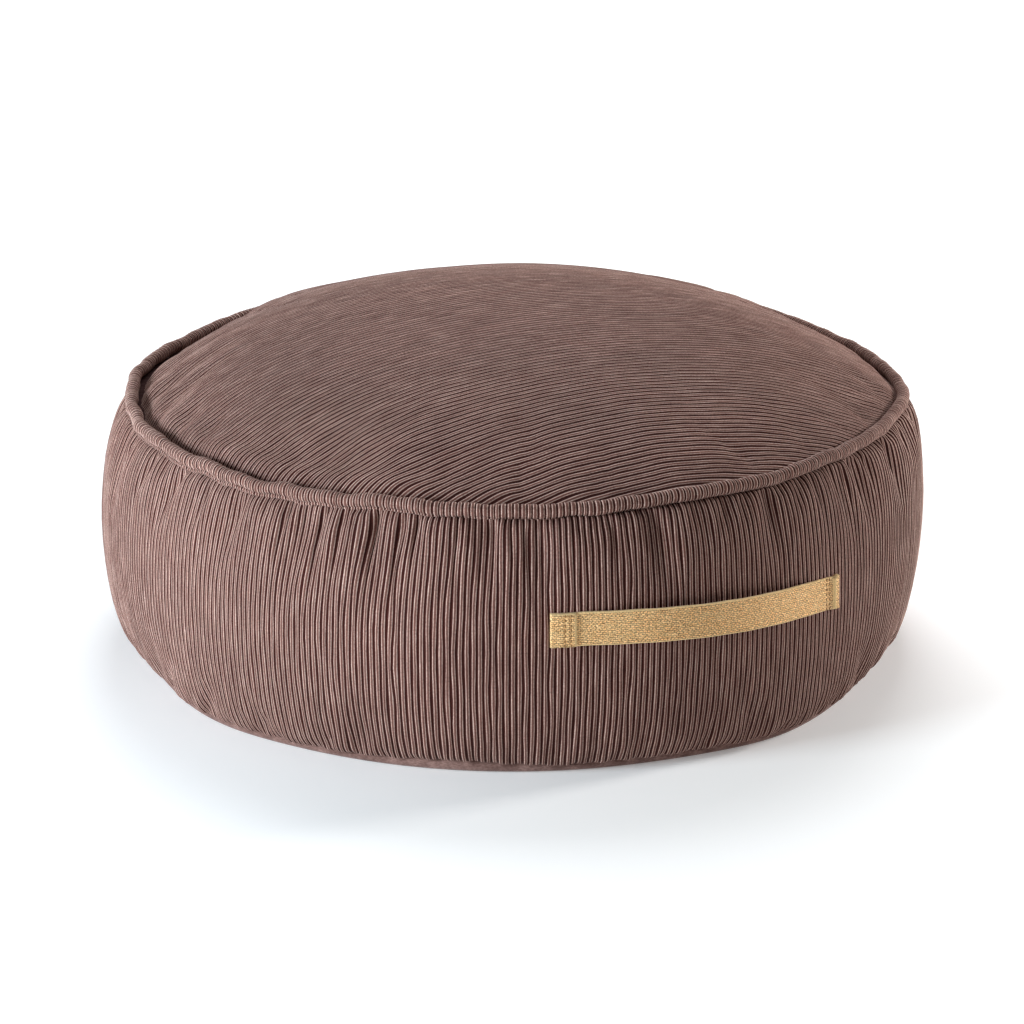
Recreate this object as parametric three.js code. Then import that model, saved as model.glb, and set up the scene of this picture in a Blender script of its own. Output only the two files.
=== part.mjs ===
// A round corduroy floor pouf: a filled top panel, a gathered side band, a plain base panel,
// a corduroy piping in the top seam and a webbing handle on the front.
// Millimetres, +Z up, origin on the floor under the middle, handle on the -Y side.
// A bearing is an angle round the pouf in degrees, 0 at the handle (-Y), growing towards +X.

import * as THREE from "three";

// Seams
const TOP_SEAM_RADIUS = 299; // circle of the piping's middle
const TOP_SEAM_HEIGHT = 201;
const BASE_SEAM_RADIUS = 298;
const BASE_SEAM_HEIGHT = 7;
const SEAM_GAP = 0.35; // between pieces that touch in a seam
const SEAM_DROP = 1; // the crown's flat underside lies this far below the piping's middle
const EDGE_LIFT = 1.2; // and its edge this far above it

// Filled panels
const CROWN_RISE = 59.5; // middle of the top above the piping's middle
const CROWN_ROUND = 0.53; // share of the rise that falls off evenly, the rest drops near the rim
const CROWN_SHOULDER = 4.7; // how squarely the rest drops
const CROWN_LEAN = 0.055; // the fill sits a little higher to one side
const CROWN_LEAN_BEARING = 64;
const BAND_SWELL = 23.5; // how far the band bulges past its seams
const BAND_FULLNESS = 0.54; // 0.5 is a half ellipse
const BAND_SLUMP = 0.945; // under 1 the widest place lies above the middle
const BAND_LEAN = 2; // the fill bulges the band a little more on one side
const BAND_LEAN_BEARING = -116;
const BASE_TURN = 5; // radius of the base cloth's turned-up edge
const STITCH_HOLD = 5; // a gather or dent opens over this distance from the stitches

// Piping
const PIPING_RADIUS = 5.2;

// Handle
const WEB_WIDTH = 25;
const WEB_THICKNESS = 1.8;
const HANDLE_LENGTH = 240; // along the band
const HANDLE_HEIGHT = 114.3; // middle of the webbing above the floor, mean of its two ends
const HANDLE_TILT = 9.5; // how much lower the +X end is sewn
const HANDLE_ARCH = 4.2; // how far the middle rides up between the ends
const HANDLE_BOW = 8.5; // how far the free part stands off the band
const HANDLE_FOLD = 18; // end folded under and sewn flat

// Steps round the pouf and along its sections
const BAND_STEPS = 216;
const PANEL_STEPS = 120;
const PIPING_STEPS = 144;
const PIPING_SIDES = 8;
const HANDLE_STEPS = 56;

// Waves of the top seam: out moves it from the middle, rise lifts it.
const TOP_SEAM_WAVES = [
  { bearing: -144, spread: 20, out: -6.5, rise: -2.4 },
  { bearing: -110, spread: 11, out: -3.4, rise: 0 },
  { bearing: -63, spread: 12, out: 0, rise: -2.1 },
  { bearing: -44, spread: 5, out: 0, rise: 2.0 },
  { bearing: -24, spread: 4, out: 0, rise: -1.0 },
  { bearing: -1, spread: 9, out: 0, rise: 3.2 },
  { bearing: 24, spread: 13, out: 0, rise: 3.2 },
  { bearing: 58, spread: 8, out: 5.0, rise: 0 },
  { bearing: 95, spread: 20, out: -7.0, rise: -2.6 },
  { bearing: 150, spread: 16, out: 1.5, rise: 1.6 },
];

// Waves of the base seam
const BASE_SEAM_WAVES = [
  { bearing: -92, spread: 9, out: -3.0, rise: 1.0 },
  { bearing: -72, spread: 11, out: 4.0, rise: 0 },
  { bearing: -34, spread: 9, out: 0, rise: 3.2 },
  { bearing: 14, spread: 12, out: 7.0, rise: -0.8 },
  { bearing: 42, spread: 11, out: -3.5, rise: 0 },
  { bearing: 120, spread: 20, out: -2.0, rise: 0.8 },
  { bearing: 180, spread: 18, out: 2.5, rise: 0 },
];

// Gathers of the band. Each is a soft trough that starts at a seam and fades along its length;
// slant is how far its lower end turns round the pouf, in degrees.
const TOP_GATHERS = [
  { bearing: -79, spread: 2.4, depth: 2.6, length: 40, slant: -2 },
  { bearing: -66, spread: 2.0, depth: 2.6, length: 42, slant: -2 },
  { bearing: -54, spread: 2.2, depth: 5.0, length: 58, slant: -3 },
  { bearing: -43, spread: 1.9, depth: 3.8, length: 48, slant: -1 },
  { bearing: -39, spread: 1.7, depth: 3.2, length: 50, slant: -1 },
  { bearing: -29, spread: 1.8, depth: 2.6, length: 40, slant: 0 },
  { bearing: -23, spread: 1.8, depth: 3.2, length: 62, slant: 1 },
  { bearing: -7, spread: 1.8, depth: 2.4, length: 40, slant: 1 },
  { bearing: 10, spread: 2.2, depth: 2.2, length: 40, slant: 1 },
  { bearing: 24, spread: 1.9, depth: 3.2, length: 46, slant: 2 },
  { bearing: 29, spread: 1.7, depth: 2.6, length: 40, slant: 2 },
  { bearing: 40, spread: 2.0, depth: 2.8, length: 44, slant: 2 },
  { bearing: 57, spread: 2.2, depth: 2.6, length: 46, slant: 1 },
  { bearing: 76, spread: 2.0, depth: 3.4, length: 52, slant: -2 },
  { bearing: 91, spread: 2.2, depth: 2.4, length: 40, slant: 2 },
  { bearing: 113, spread: 2.0, depth: 3.6, length: 54, slant: 2 },
  { bearing: 122, spread: 1.8, depth: 2.6, length: 44, slant: 1 },
  { bearing: 141, spread: 2.2, depth: 2.8, length: 48, slant: -1 },
  { bearing: 163, spread: 2.0, depth: 3.0, length: 50, slant: -2 },
  { bearing: 186, spread: 2.2, depth: 3.4, length: 46, slant: 2 },
  { bearing: 204, spread: 1.9, depth: 2.6, length: 42, slant: -1 },
  { bearing: 219, spread: 2.0, depth: 3.2, length: 52, slant: 2 },
  { bearing: 240, spread: 2.2, depth: 3.0, length: 48, slant: -2 },
  { bearing: 262, spread: 2.0, depth: 2.6, length: 44, slant: 1 },
];
const BASE_GATHERS = [
  { bearing: -88, spread: 3.2, depth: 4.5, length: 34, slant: 4 },
  { bearing: -72, spread: 2.2, depth: 2.4, length: 28, slant: 2 },
  { bearing: -47, spread: 2.0, depth: 2.0, length: 26, slant: 1 },
  { bearing: -20, spread: 2.0, depth: 1.8, length: 24, slant: 0 },
  { bearing: 8, spread: 2.2, depth: 2.2, length: 28, slant: -2 },
  { bearing: 34, spread: 2.4, depth: 3.4, length: 34, slant: -3 },
  { bearing: 62, spread: 2.2, depth: 2.6, length: 30, slant: -2 },
  { bearing: 98, spread: 2.4, depth: 2.8, length: 30, slant: 2 },
  { bearing: 134, spread: 2.2, depth: 3.2, length: 34, slant: -2 },
  { bearing: 171, spread: 2.6, depth: 2.6, length: 30, slant: 2 },
  { bearing: 206, spread: 2.2, depth: 3.0, length: 32, slant: 1 },
  { bearing: 238, spread: 2.4, depth: 2.6, length: 28, slant: -2 },
];

// Dents of the crown where the round is eased into the seam; reach is measured inwards.
const CROWN_DENTS = [
  { bearing: -101, spread: 6, depth: 4.5, reach: 55 },
  { bearing: -84, spread: 4, depth: 3.0, reach: 48 },
  { bearing: -58, spread: 5, depth: 2.0, reach: 40 },
  { bearing: -10, spread: 6, depth: 1.6, reach: 36 },
  { bearing: 46, spread: 5, depth: 3.2, reach: 50 },
  { bearing: 64, spread: 4, depth: 2.6, reach: 44 },
  { bearing: 118, spread: 6, depth: 3.0, reach: 48 },
  { bearing: 166, spread: 6, depth: 2.6, reach: 44 },
  { bearing: 214, spread: 5, depth: 3.2, reach: 50 },
];

const corduroy = new THREE.MeshStandardMaterial({ color: 0x8c7068, roughness: 0.95, metalness: 0 });
const plainCloth = new THREE.MeshStandardMaterial({ color: 0x7b6059, roughness: 0.9, metalness: 0 });
const webbing = new THREE.MeshStandardMaterial({ color: 0xc49c6c, roughness: 0.85, metalness: 0 });

// 1 at the middle of a wave, fading to 0 on both sides
function wave(bearing, middle, spread) {
  const apart = ((bearing - middle + 900) % 360) - 180;
  return Math.exp(-((apart / spread) ** 2));
}

function sumOf(table, column, bearing) {
  return table.reduce((sum, row) => sum + row[column] * wave(bearing, row.bearing, row.spread), 0);
}

// How deep the gathers are at a distance from their seam: nothing in the stitches, deepest just past them.
function gatherDepth(table, bearing, fromSeam) {
  const opening = 1 - Math.exp(-fromSeam / STITCH_HOLD);
  return table.reduce((sum, row) => {
    const middle = row.bearing + (row.slant * fromSeam) / row.length;
    const fade = Math.exp(-((fromSeam / row.length) ** 2));
    return sum + row.depth * opening * fade * wave(bearing, middle, row.spread);
  }, 0);
}

function topSeam(bearing) {
  return {
    radius: TOP_SEAM_RADIUS + sumOf(TOP_SEAM_WAVES, "out", bearing),
    height: TOP_SEAM_HEIGHT + sumOf(TOP_SEAM_WAVES, "rise", bearing),
  };
}

function baseSeam(bearing) {
  return {
    radius: BASE_SEAM_RADIUS + sumOf(BASE_SEAM_WAVES, "out", bearing),
    height: BASE_SEAM_HEIGHT + sumOf(BASE_SEAM_WAVES, "rise", bearing),
  };
}

// The band hangs from under the piping, so its upper edge is just clear of it.
const BAND_TOP_DROP = PIPING_RADIUS + 0.8;
const BAND_TOP_INSET = 1.5;

// A point of the band's outer face: share runs from 0 at the top seam to 1 at the base seam.
function bandPoint(bearing, share) {
  const top = topSeam(bearing);
  const base = baseSeam(bearing);
  const topHeight = top.height - BAND_TOP_DROP;
  const topRadius = top.radius - BAND_TOP_INSET;
  const height = topHeight + (base.height - topHeight) * share;
  const skewed = share ** BAND_SLUMP;
  const swell = BAND_SWELL * (4 * skewed * (1 - skewed)) ** BAND_FULLNESS;
  const towards = Math.cos(THREE.MathUtils.degToRad(bearing - BAND_LEAN_BEARING));
  const lean = BAND_LEAN * towards * Math.sin(Math.PI * share);
  const gathers =
    gatherDepth(TOP_GATHERS, bearing, topHeight - height) +
    gatherDepth(BASE_GATHERS, bearing, height - base.height);
  const even = topRadius + (BASE_SEAM_RADIUS - topRadius) * share;
  const straight = even + (base.radius - BASE_SEAM_RADIUS) * share ** 2;
  return { radius: straight + swell + lean - gathers, height };
}

function bandRadiusAt(bearing, height) {
  const topHeight = topSeam(bearing).height - BAND_TOP_DROP;
  const baseHeight = baseSeam(bearing).height;
  return bandPoint(bearing, (topHeight - height) / (topHeight - baseHeight)).radius;
}

// Height of the crown above the piping's middle; share runs from 0 in the middle to 1 at the seam.
function crownHeight(bearing, share, seamRadius) {
  const even = CROWN_ROUND * share ** 2;
  const edge = (1 - CROWN_ROUND) * share ** CROWN_SHOULDER;
  const towards = Math.cos(THREE.MathUtils.degToRad(bearing - CROWN_LEAN_BEARING));
  const lean = 1 + CROWN_LEAN * share * towards * (1 - share ** 2);
  const fromSeam = (1 - share) * seamRadius;
  const opening = 1 - Math.exp(-fromSeam / STITCH_HOLD);
  const dents = CROWN_DENTS.reduce((sum, row) => {
    const fade = Math.exp(-((fromSeam / row.reach) ** 2));
    return sum + row.depth * opening * fade * wave(bearing, row.bearing, row.spread);
  }, 0);
  return CROWN_RISE * (1 - even - edge) * lean - dents;
}

// A turned solid whose section changes with the bearing. The lathe is given whole numbers that only
// count the section's points, and each is then put in its place.
function turned(sectionCount, closed, steps, sectionAt) {
  const profile = [];
  for (let i = 0; i < sectionCount; i++) {
    const onAxis = !closed && (i === 0 || i === sectionCount - 1);
    profile.push(new THREE.Vector2(onAxis ? 0 : 1, i));
  }
  if (closed) profile.push(profile[0].clone());
  const geometry = new THREE.LatheGeometry(profile, steps);
  const position = geometry.getAttribute("position");
  const rows = profile.length;
  for (let step = 0; step <= steps; step++) {
    const bearing = ((step % steps) * 360) / steps;
    const turn = THREE.MathUtils.degToRad(bearing);
    const section = sectionAt(bearing);
    for (let row = 0; row < rows; row++) {
      const { radius, height } = section[row % sectionCount];
      position.setXYZ(step * rows + row, radius * Math.sin(turn), -radius * Math.cos(turn), height);
    }
  }
  geometry.computeVertexNormals();
  return geometry;
}

// The flat under the crown and over the band follows the seam's rise towards the rim.
function seamPlane(bearing, share) {
  return TOP_SEAM_HEIGHT - SEAM_DROP + (topSeam(bearing).height - TOP_SEAM_HEIGHT) * share ** 2;
}

// Rings of a flat that closes a panel inside, as shares of its radius
const FLAT_RINGS = [0.4, 0.72];

function topPanel() {
  const ringShares = [0.16, 0.34, 0.52, 0.68, 0.8, 0.89, 0.95, 0.985];
  const section = (bearing) => {
    const seam = topSeam(bearing);
    const rim = seam.radius - PIPING_RADIUS - SEAM_GAP;
    const edge = { radius: rim, height: seam.height + EDGE_LIFT };
    const crown = [0, ...ringShares].map((share) => {
      const lift = (seam.height - TOP_SEAM_HEIGHT) * share ** 2;
      return { radius: share * rim, height: TOP_SEAM_HEIGHT + lift + crownHeight(bearing, share, rim) };
    });
    const flat = [0, ...FLAT_RINGS, 1].map((share) => ({
      radius: share * rim,
      height: seamPlane(bearing, share),
    }));
    return [...flat, edge, ...crown.reverse()];
  };
  return turned(FLAT_RINGS.length + ringShares.length + 4, false, PANEL_STEPS, section);
}

function sideBand() {
  const outerRows = 15;
  const section = (bearing) => {
    const seam = topSeam(bearing);
    const base = baseSeam(bearing);
    const shoulder = seam.radius - PIPING_RADIUS - SEAM_GAP;
    const under = [0, ...FLAT_RINGS].map((share) => ({
      radius: share * base.radius,
      height: BASE_SEAM_HEIGHT + (base.height - BASE_SEAM_HEIGHT) * share ** 2,
    }));
    const outer = [];
    for (let row = outerRows - 1; row >= 0; row--) {
      outer.push(bandPoint(bearing, (1 - Math.cos((Math.PI * row) / (outerRows - 1))) / 2));
    }
    const over = [0, ...FLAT_RINGS, 1].map((share) => ({
      radius: share * shoulder,
      height: seamPlane(bearing, share) - SEAM_GAP,
    }));
    return [...under, ...outer, ...over.reverse()];
  };
  return turned(2 * FLAT_RINGS.length + outerRows + 3, false, BAND_STEPS, section);
}

function basePanel() {
  const turnRows = 3;
  const section = (bearing) => {
    const seam = baseSeam(bearing);
    const foot = seam.radius - BASE_TURN;
    const turnUp = [];
    for (let row = 1; row <= turnRows; row++) {
      const angle = (Math.PI / 2) * (row / turnRows);
      turnUp.push({
        radius: foot + BASE_TURN * Math.sin(angle),
        height: BASE_TURN * (1 - Math.cos(angle)),
      });
    }
    const over = [0, ...FLAT_RINGS, 1].map((share) => ({
      radius: share * (seam.radius - SEAM_GAP),
      height: BASE_SEAM_HEIGHT + (seam.height - BASE_SEAM_HEIGHT) * share ** 2 - SEAM_GAP,
    }));
    const under = [0, ...FLAT_RINGS, 1].map((share) => ({ radius: share * foot, height: 0 }));
    return [...under, ...turnUp, ...over.reverse()];
  };
  return turned(2 * FLAT_RINGS.length + turnRows + 4, false, PANEL_STEPS, section);
}

function topPiping() {
  const section = (bearing) => {
    const seam = topSeam(bearing);
    const points = [];
    for (let side = 0; side < PIPING_SIDES; side++) {
      const angle = ((side + 0.5) * 2 * Math.PI) / PIPING_SIDES;
      points.push({
        radius: seam.radius + PIPING_RADIUS * Math.cos(angle),
        height: seam.height + PIPING_RADIUS * Math.sin(angle),
      });
    }
    return points;
  };
  return turned(PIPING_SIDES, true, PIPING_STEPS, section);
}

// How far the inner layer of the webbing stands off the band at a distance from its middle
function handleStandOff(along) {
  const free = HANDLE_LENGTH / 2 - HANDLE_FOLD;
  const share = Math.min(Math.abs(along) / free, 1);
  return SEAM_GAP + HANDLE_BOW * (1 - share ** 2) ** 1.5;
}

// Webbing laid along the band: two layers where an end is folded under, one between the stitches
function handleStrap() {
  const geometry = new THREE.BoxGeometry(HANDLE_LENGTH, WEB_THICKNESS, WEB_WIDTH, HANDLE_STEPS, 1, 2);
  const position = geometry.getAttribute("position");
  const reach = BASE_SEAM_RADIUS + BAND_SWELL;
  for (let i = 0; i < position.count; i++) {
    const along = position.getX(i);
    const outerLayer = position.getY(i) < 0;
    const folded = Math.abs(along) > HANDLE_LENGTH / 2 - HANDLE_FOLD;
    const part = along / (HANDLE_LENGTH / 2);
    const height =
      HANDLE_HEIGHT - (HANDLE_TILT / 2) * part + HANDLE_ARCH * (1 - part ** 2) + position.getZ(i);
    const bearing = THREE.MathUtils.radToDeg(along / reach);
    const thickness = folded ? 2 * WEB_THICKNESS : WEB_THICKNESS;
    const lift = handleStandOff(along) + (outerLayer ? thickness : 0);
    const radius = bandRadiusAt(bearing, height) + lift;
    const turn = THREE.MathUtils.degToRad(bearing);
    position.setXYZ(i, radius * Math.sin(turn), -radius * Math.cos(turn), height);
  }
  geometry.computeVertexNormals();
  return geometry;
}

function piece(name, geometry, material) {
  const mesh = new THREE.Mesh(geometry, material);
  mesh.name = name;
  return mesh;
}

const pouf = new THREE.Group();
const cover = new THREE.Group();
cover.add(
  piece("base_panel", basePanel(), plainCloth),
  piece("side_band", sideBand(), corduroy),
  piece("top_panel", topPanel(), corduroy),
  piece("top_piping", topPiping(), corduroy),
);
pouf.add(cover);
pouf.add(piece("handle_strap", handleStrap(), webbing));

export default pouf;
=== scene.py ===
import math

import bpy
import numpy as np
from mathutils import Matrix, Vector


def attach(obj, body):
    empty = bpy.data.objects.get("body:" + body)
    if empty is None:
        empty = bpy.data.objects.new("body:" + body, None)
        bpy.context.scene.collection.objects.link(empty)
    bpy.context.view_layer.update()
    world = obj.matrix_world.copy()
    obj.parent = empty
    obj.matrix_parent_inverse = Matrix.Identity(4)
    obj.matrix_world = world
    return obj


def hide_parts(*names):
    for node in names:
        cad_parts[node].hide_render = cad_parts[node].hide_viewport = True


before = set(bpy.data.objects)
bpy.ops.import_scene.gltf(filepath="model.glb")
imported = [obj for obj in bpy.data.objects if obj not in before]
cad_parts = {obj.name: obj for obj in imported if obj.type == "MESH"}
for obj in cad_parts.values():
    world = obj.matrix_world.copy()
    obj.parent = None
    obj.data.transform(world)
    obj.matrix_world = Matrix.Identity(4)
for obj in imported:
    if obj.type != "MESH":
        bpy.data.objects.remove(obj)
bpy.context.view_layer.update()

# A round corduroy floor pouf with a corduroy piping in its top seam and a webbing handle.
# Metres, +Z up, origin on the floor under the middle, handle on the -Y side. A bearing is an
# angle round the pouf in degrees, 0 at the handle and growing towards +X.

# Seams
TOP_SEAM_RADIUS = 0.299  # circle of the piping's middle
TOP_SEAM_HEIGHT = 0.201
BASE_SEAM_RADIUS = 0.298
BASE_SEAM_HEIGHT = 0.007
SEAM_GAP = 0.00035  # between pieces that touch in a seam
SEAM_DROP = 0.001
STITCH_HOLD = 0.005  # a gather opens over this distance from the stitches

# Filled panels
CROWN_RISE = 0.0595
CROWN_ROUND = 0.53
CROWN_SHOULDER = 4.7
CROWN_LEAN = 0.055
CROWN_LEAN_BEARING = 64
BAND_SWELL = 0.0235
BAND_FULLNESS = 0.54
BAND_SLUMP = 0.945
BAND_LEAN = 0.002
BAND_LEAN_BEARING = -116
BAND_TOP_DROP = 0.006  # the band hangs from under the piping
BAND_TOP_INSET = 0.0015
BAND_LENGTH = 0.187  # from seam to seam
BASE_TURN = 0.005  # radius at which the base cloth turns up into its seam

# Grids for the cloth simulation: rows between the seams, and points round the pouf
BAND_SIM = (34, 288)
CROWN_SIM = (26, 288)
CROWN_EYE = 0.02  # share of the crown's radius at which its grid begins

# Piping and handle
PIPING_RADIUS = 0.0052
PIPING_RIBS = 430
RIB_HEIGHT = 0.00065  # of the pile on the piping
ROLL_UNDER_RIBS = 0.0007  # how much thinner the roll is under its ribs
WEB_WIDTH = 0.025
WEB_THICKNESS = 0.0018
HANDLE_LENGTH = 0.240
HANDLE_HEIGHT = 0.1143
HANDLE_TILT = 0.0095
HANDLE_ARCH = 0.0042
HANDLE_BOW = 0.0085
HANDLE_FOLD = 0.018
# Where the webbing's second layer ends and its rows of stitches lie, from each end
FOLD_EDGE = {-1: HANDLE_FOLD, 1: 0.0058}
STITCH_ROWS = {-1: (0.0105, 0.0145), 1: (0.0105, 0.0135)}

# Corduroy
BAND_WALES = 460  # upright ribs round the band, one every 4.4 mm at its widest
WALE_HEIGHT = 0.0009  # of the pile above the groove
TOP_WALE_PITCH = 0.00499  # along the crown, where the camera sees it
TOP_WALE_TURN = -3.65  # degrees from +X that the top panel's wales run
TOP_WALES = 160  # a few more than the panel is wide
WALE_COLUMNS = np.array([0, 0.13, 0.23, 0.5, 0.77, 0.87])  # a wale's points, from its groove
WALE_OUTLINE = (0.2, 0.7, 1, 0.7, 0.2)  # how high the pile stands at them, 0 in the groove


def table(columns, *rows):
    """Rows of numbers with named columns, as one array for each column."""
    return dict(zip(columns.split(), np.array(rows, float).T))


# Waves of the seams: out moves a seam from the middle, rise lifts it.
TOP_SEAM_WAVES = table(
    "bearing spread out rise",
    (-144, 20, -0.0065, -0.0024),
    (-110, 11, -0.0034, 0),
    (-63, 12, 0, -0.0021),
    (-44, 5, 0, 0.002),
    (-24, 4, 0, -0.001),
    (-1, 9, 0, 0.0032),
    (24, 13, 0, 0.0032),
    (58, 8, 0.005, 0),
    (95, 20, -0.007, -0.0026),
    (150, 16, 0.0015, 0.0016),
)
BASE_SEAM_WAVES = table(
    "bearing spread out rise",
    (-92, 9, -0.003, 0.001),
    (-72, 11, 0.004, 0),
    (-34, 9, 0, 0.0032),
    (14, 12, 0.007, -0.0008),
    (42, 11, -0.0035, 0),
    (120, 20, -0.002, 0.0008),
    (180, 18, 0.0025, 0),
)

# Gathers of the band: soft troughs that start at a seam and fade along their length; slant is how
# far the far end turns round the pouf, in degrees.
TOP_GATHERS = table(
    "bearing spread depth length slant",
    (-79, 2.4, 0.0026, 0.04, -2),
    (-66, 2.0, 0.0026, 0.042, -2),
    (-54, 2.2, 0.005, 0.058, -3),
    (-43, 1.9, 0.0038, 0.048, -1),
    (-39, 1.7, 0.0032, 0.05, -1),
    (-29, 1.8, 0.0026, 0.04, 0),
    (-23, 1.8, 0.0032, 0.062, 1),
    (-7, 1.8, 0.0024, 0.04, 1),
    (10, 2.2, 0.0022, 0.04, 1),
    (24, 1.9, 0.0032, 0.046, 2),
    (29, 1.7, 0.0026, 0.04, 2),
    (40, 2.0, 0.0028, 0.044, 2),
    (57, 2.2, 0.0026, 0.046, 1),
    (76, 2.0, 0.0034, 0.052, -2),
    (91, 2.2, 0.0024, 0.04, 2),
    (113, 2.0, 0.0036, 0.054, 2),
    (122, 1.8, 0.0026, 0.044, 1),
    (141, 2.2, 0.0028, 0.048, -1),
    (163, 2.0, 0.003, 0.05, -2),
    (186, 2.2, 0.0034, 0.046, 2),
    (204, 1.9, 0.0026, 0.042, -1),
    (219, 2.0, 0.0032, 0.052, 2),
    (240, 2.2, 0.003, 0.048, -2),
    (262, 2.0, 0.0026, 0.044, 1),
)
BASE_GATHERS = table(
    "bearing spread depth length slant",
    (-88, 3.2, 0.0045, 0.034, 4),
    (-72, 2.2, 0.0024, 0.028, 2),
    (-47, 2.0, 0.002, 0.026, 1),
    (-20, 2.0, 0.0018, 0.024, 0),
    (8, 2.2, 0.0022, 0.028, -2),
    (34, 2.4, 0.0034, 0.034, -3),
    (62, 2.2, 0.0026, 0.03, -2),
    (98, 2.4, 0.0028, 0.03, 2),
    (134, 2.2, 0.0032, 0.034, -2),
    (171, 2.6, 0.0026, 0.03, 2),
    (206, 2.2, 0.003, 0.032, 1),
    (238, 2.4, 0.0026, 0.028, -2),
)

# Narrow creases inside the gathers, only a wale or two wide
TOP_CREASES = table(
    "bearing spread depth length slant",
    (-103, 0.9, 0.0035, 0.03, -2),
    (-94, 0.8, 0.0030, 0.028, -2),
    (-86, 0.7, 0.0028, 0.034, -2),
    (-77.8, 0.8, 0.0040, 0.034, -3),
    (-71, 0.6, 0.0022, 0.03, -2),
    (-64.5, 0.7, 0.0028, 0.036, -2),
    (-57, 0.6, 0.0024, 0.036, -1.5),
    (-51.7, 0.75, 0.0062, 0.042, -1),
    (-48.7, 0.6, 0.0032, 0.048, -1),
    (-44.3, 0.7, 0.0062, 0.036, -0.5),
    (-40.6, 0.7, 0.0052, 0.044, -0.6),
    (-38.5, 0.6, 0.0044, 0.026, -0.5),
    (-33.4, 0.5, 0.0022, 0.034, 0),
    (-28.7, 0.7, 0.0044, 0.022, 0),
    (-26.5, 0.6, 0.0026, 0.03, 0.8),
    (-24.6, 0.55, 0.0022, 0.05, 0.6),
    (-13, 0.5, 0.0020, 0.03, 0.3),
    (-6.6, 0.6, 0.0026, 0.03, 0.4),
    (3, 0.5, 0.0020, 0.026, 0.5),
    (10.4, 0.6, 0.0026, 0.032, 0.6),
    (19, 0.6, 0.0024, 0.026, 0.8),
    (25.5, 0.7, 0.0028, 0.024, 0.8),
    (28.2, 0.7, 0.0036, 0.036, 1.2),
    (31.8, 0.7, 0.0032, 0.024, 1),
    (40, 0.6, 0.0026, 0.03, 1),
    (47, 0.6, 0.0024, 0.026, 1),
    (55, 0.9, 0.0036, 0.028, 1),
    (66, 0.7, 0.0026, 0.03, 1),
    (76.5, 0.8, 0.0040, 0.04, -1),
    (90, 0.7, 0.0028, 0.03, 1),
    (103, 0.7, 0.0026, 0.032, 1),
    (113.4, 0.8, 0.0044, 0.042, 1),
    (121.6, 0.7, 0.0032, 0.034, 1),
    (133, 0.6, 0.0024, 0.03, 0),
    (141.5, 0.8, 0.0036, 0.036, -1),
    (154, 0.6, 0.0024, 0.03, -1),
    (163, 0.8, 0.0040, 0.04, -1),
    (175, 0.7, 0.0026, 0.028, 1),
    (186.4, 0.8, 0.0042, 0.036, 1),
    (196, 0.6, 0.0024, 0.03, -1),
    (204, 0.7, 0.0034, 0.034, -1),
    (219, 0.8, 0.0040, 0.042, 1),
    (229, 0.6, 0.0024, 0.03, 0),
    (240, 0.8, 0.0038, 0.036, -1),
    (248, 0.6, 0.0026, 0.028, -1),
)

BASE_CREASES = table(
    "bearing spread depth length slant",
    (-100, 1.0, 0.0028, 0.02, 2),
    (-84, 1.3, 0.0052, 0.028, 4),
    (-74, 0.8, 0.0028, 0.02, 2),
    (-63, 0.7, 0.0024, 0.02, 2),
    (-52, 0.7, 0.0026, 0.018, 1),
    (-41, 0.6, 0.0018, 0.016, 1),
    (-29, 0.6, 0.0018, 0.014, 0),
    (-12, 0.6, 0.0016, 0.016, 0),
    (1, 0.6, 0.0018, 0.016, -1),
    (17, 0.7, 0.0022, 0.018, -1),
    (33, 0.8, 0.003, 0.022, -2),
    (49, 0.8, 0.0026, 0.02, -2),
    (70, 0.8, 0.0028, 0.022, -1),
    (92, 0.7, 0.0024, 0.02, 1),
    (118, 0.8, 0.003, 0.022, -1),
    (147, 0.7, 0.0024, 0.018, 1),
    (170, 0.8, 0.0028, 0.022, -1),
    (199, 0.7, 0.0024, 0.02, 1),
    (228, 0.8, 0.003, 0.022, -1),
    (246, 0.7, 0.0022, 0.018, 1),
)

# Dents of the crown where the round is eased into the seam
CROWN_DENTS = table(
    "bearing spread depth reach",
    (-101, 6, 0.0045, 0.055),
    (-84, 4, 0.003, 0.048),
    (-58, 5, 0.002, 0.04),
    (-10, 6, 0.0016, 0.036),
    (46, 5, 0.0032, 0.05),
    (64, 4, 0.0026, 0.044),
    (118, 6, 0.003, 0.048),
    (166, 6, 0.0026, 0.044),
    (214, 5, 0.0032, 0.05),
)

# Narrow creases of the crown, slanting in from its rim
CROWN_CREASES = table(
    "bearing spread depth length slant",
    (-114, 3.6, 0.0045, 0.05, -9),
    (-104, 3.0, 0.0058, 0.06, -9),
    (-95, 2.8, 0.0055, 0.055, -9),
    (-86, 2.4, 0.0042, 0.045, -6),
    (-78, 1.7, 0.0022, 0.03, -4),
    (-61, 1.6, 0.0014, 0.026, 0),
    (-36, 1.6, 0.001, 0.022, 0),
    (22, 1.6, 0.0012, 0.024, 2),
    (41, 1.8, 0.0024, 0.034, 4),
    (52, 1.8, 0.0024, 0.04, 5),
    (73, 2.0, 0.002, 0.04, 4),
    (86, 1.8, 0.0034, 0.04, 4),
    (94, 2.0, 0.004, 0.05, 5),
    (108, 2.2, 0.003, 0.045, 5),
    (134, 2.0, 0.002, 0.036, -4),
    (159, 2.2, 0.0026, 0.045, 5),
    (188, 2.0, 0.002, 0.036, -4),
    (207, 2.2, 0.0028, 0.045, 5),
    (231, 2.0, 0.002, 0.036, -5),
)

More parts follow.
